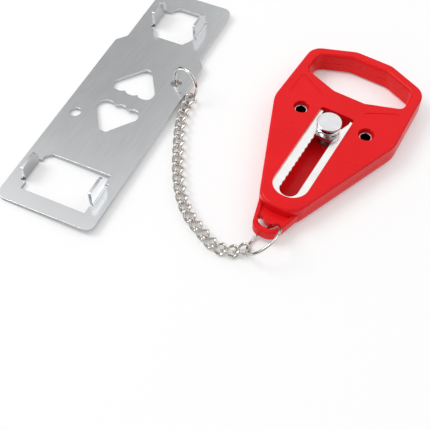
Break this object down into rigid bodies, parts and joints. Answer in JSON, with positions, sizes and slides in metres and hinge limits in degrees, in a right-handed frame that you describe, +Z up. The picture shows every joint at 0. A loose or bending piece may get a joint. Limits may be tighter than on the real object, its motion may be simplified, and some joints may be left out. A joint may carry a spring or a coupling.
{
  "type": "portable door lock",
  "caption": "Portable door lock: steel door plate with bent tabs, chained to a red handle with a sliding lock knob on a toothed track.",
  "frame": {"origin": "on the floor under the midpoint between the two eyelets, on the back face of the handle", "axes": "+Y along the handle to its finger-hole end, +X to the right away from the plate, +Z up"},
  "size_m": [0.155, 0.1592, 0.0164],
  "materials": {
    "red_plastic": "satin moulded ABS",
    "plate_steel": "bright zinc plate, satin",
    "bright_steel": "bright, fine brushed",
    "plated_steel": "zinc plated",
    "spring_steel": "drawn wire, oiled",
    "chrome": "polished chrome"
  },
  "bodies": {
    "handle": {"handle_top_shell": "red_plastic", "handle_back_shell": "red_plastic", "toothed_track": "bright_steel", "eyelet_left": "plated_steel", "eyelet_right": "plated_steel"},
    "slide_carriage": {"slide_foot": "plated_steel", "knob_spring": "spring_steel"},
    "knob": {"lock_knob": "chrome", "lock_shoe": "plated_steel", "stem_clip": "spring_steel"},
    "handle_ring_body": {"handle_ring": "chrome"},
    "link_01": {"chain_link_01": "chrome"},
    "link_02": {"chain_link_02": "chrome"},
    "link_03": {"chain_link_03": "chrome"},
    "link_04": {"chain_link_04": "chrome"},
    "link_05": {"chain_link_05": "chrome"},
    "link_06": {"chain_link_06": "chrome"},
    "link_07": {"chain_link_07": "chrome"},
    "link_08": {"chain_link_08": "chrome"},
    "link_09": {"chain_link_09": "chrome"},
    "link_10": {"chain_link_10": "chrome"},
    "link_11": {"chain_link_11": "chrome"},
    "link_12": {"chain_link_12": "chrome"},
    "link_13": {"chain_link_13": "chrome"},
    "link_14": {"chain_link_14": "chrome"},
    "link_15": {"chain_link_15": "chrome"},
    "link_16": {"chain_link_16": "chrome"},
    "link_17": {"chain_link_17": "chrome"},
    "link_18": {"chain_link_18": "chrome"},
    "link_19": {"chain_link_19": "chrome"},
    "link_20": {"chain_link_20": "chrome"},
    "plate_ring_body": {"plate_ring": "chrome"},
    "plate": {"door_plate": "plate_steel"}
  },
  "joints": [
    {"name": "knob_slide", "type": "slide", "parent": "handle", "child": "slide_carriage", "axis": [0, -1, 0], "range_m": [0, 0.0384]},
    {"name": "knob_press", "type": "slide", "parent": "slide_carriage", "child": "knob", "axis": [0, 0, -1], "range_m": [0, 0.0016], "stiffness_N_per_m": 500, "springref_m": -0.0008, "deforming": ["knob_spring"]},
    {"name": "handle_ring_swing", "type": "hinge", "parent": "handle", "child": "handle_ring_body", "pos_m": [0.00255, -0.07436, 0.00748], "axis": [-0.7363, 0.0567, 0.6743], "range_deg": [-10, 10]},
    {"name": "link_01_turn", "type": "hinge", "parent": "handle_ring_body", "child": "link_01", "pos_m": [-0.00273, -0.07885, 0.00198], "axis": [0, 0, 1], "range_deg": [-8, 8]},
    {"name": "link_02_lift", "type": "hinge", "parent": "link_01", "child": "link_02", "pos_m": [-0.00594, -0.08241, 0.00198], "axis": [-0.5878, 0.809, 0], "range_deg": [-10, 10]},
    {"name": "link_03_turn", "type": "hinge", "parent": "link_02", "child": "link_03", "pos_m": [-0.01092, -0.08463, 0.00198], "axis": [0, 0, -1], "range_deg": [-10, 10]},
    {"name": "link_04_lift", "type": "hinge", "parent": "link_03", "child": "link_04", "pos_m": [-0.01637, -0.08463, 0.00198], "axis": [-0.2079, -0.9781, 0], "range_deg": [-10, 10]},
    {"name": "link_05_turn", "type": "hinge", "parent": "link_04", "child": "link_05", "pos_m": [-0.02134, -0.08241, 0.00198], "axis": [0, 0, 1], "range_deg": [-12, 12]},
    {"name": "link_06_lift", "type": "hinge", "parent": "link_05", "child": "link_06", "pos_m": [-0.02628, -0.08011, 0.00198], "axis": [0.4384, 0.8988, 0], "range_deg": [-12, 12]},
    {"name": "link_07_turn", "type": "hinge", "parent": "link_06", "child": "link_07", "pos_m": [-0.03114, -0.07764, 0.00198], "axis": [0, 0, -1], "range_deg": [-12, 12]},
    {"name": "link_08_lift", "type": "hinge", "parent": "link_07", "child": "link_08", "pos_m": [-0.03566, -0.07459, 0.00198], "axis": [-0.6157, -0.788, 0], "range_deg": [-12, 12]},
    {"name": "link_09_turn", "type": "hinge", "parent": "link_08", "child": "link_09", "pos_m": [-0.03971, -0.07094, 0.00198], "axis": [0, 0, 1], "range_deg": [-12, 12]},
    {"name": "link_10_lift", "type": "hinge", "parent": "link_09", "child": "link_10", "pos_m": [-0.04343, -0.06696, 0.00198], "axis": [0.7604, 0.6494, 0], "range_deg": [-12, 12]},
    {"name": "link_11_turn", "type": "hinge", "parent": "link_10", "child": "link_11", "pos_m": [-0.04678, -0.06266, 0.00198], "axis": [0, 0, -1], "range_deg": [-12, 12]},
    {"name": "link_12_lift", "type": "hinge", "parent": "link_11", "child": "link_12", "pos_m": [-0.04991, -0.0582, 0.00198], "axis": [-0.8339, -0.5519, 0], "range_deg": [-12, 12]},
    {"name": "link_13_turn", "type": "hinge", "parent": "link_12", "child": "link_13", "pos_m": [-0.05279, -0.05357, 0.00198], "axis": [0, 0, 1], "range_deg": [-12, 12]},
    {"name": "link_14_lift", "type": "hinge", "parent": "link_13", "child": "link_14", "pos_m": [-0.05552, -0.04886, 0.00198], "axis": [0.8704, 0.4924, 0], "range_deg": [-12, 12]},
    {"name": "link_15_turn", "type": "hinge", "parent": "link_14", "child": "link_15", "pos_m": [-0.05816, -0.04409, 0.00198], "axis": [0, 0, -1], "range_deg": [-12, 12]},
    {"name": "link_16_lift", "type": "hinge", "parent": "link_15", "child": "link_16", "pos_m": [-0.06072, -0.03928, 0.00198], "axis": [-0.887, -0.4617, 0], "range_deg": [-12, 12]},
    {"name": "link_17_turn", "type": "hinge", "parent": "link_16", "child": "link_17", "pos_m": [-0.06319, -0.03442, 0.00198], "axis": [0, 0, 1], "range_deg": [-12, 12]},
    {"name": "link_18_lift", "type": "hinge", "parent": "link_17", "child": "link_18", "pos_m": [-0.06541, -0.02944, 0.00198], "axis": [0.9336, 0.3584, 0], "range_deg": [-12, 12]},
    {"name": "link_19_turn", "type": "hinge", "parent": "link_18", "child": "link_19", "pos_m": [-0.0671, -0.02426, 0.00198], "axis": [0, 0, -1], "range_deg": [-12, 12]},
    {"name": "link_20_lift", "type": "hinge", "parent": "link_19", "child": "link_20", "pos_m": [-0.06832, -0.01895, 0.00198], "axis": [-0.9763, -0.2164, 0], "range_deg": [-12, 12]},
    {"name": "plate_ring_swing", "type": "hinge", "parent": "link_20", "child": "plate_ring_body", "pos_m": [-0.07373, -0.01213, 0.00815], "axis": [-0.282, -0.946, 0.1599], "range_deg": [-6, 2]},
    {"name": "plate_turn", "type": "hinge", "parent": "plate_ring_body", "child": "plate", "pos_m": [-0.07833, -0.01077, 0.00299], "axis": [-0.0505, -0.0037, 0.9987], "range_deg": [-8, 3]}
  ]
}
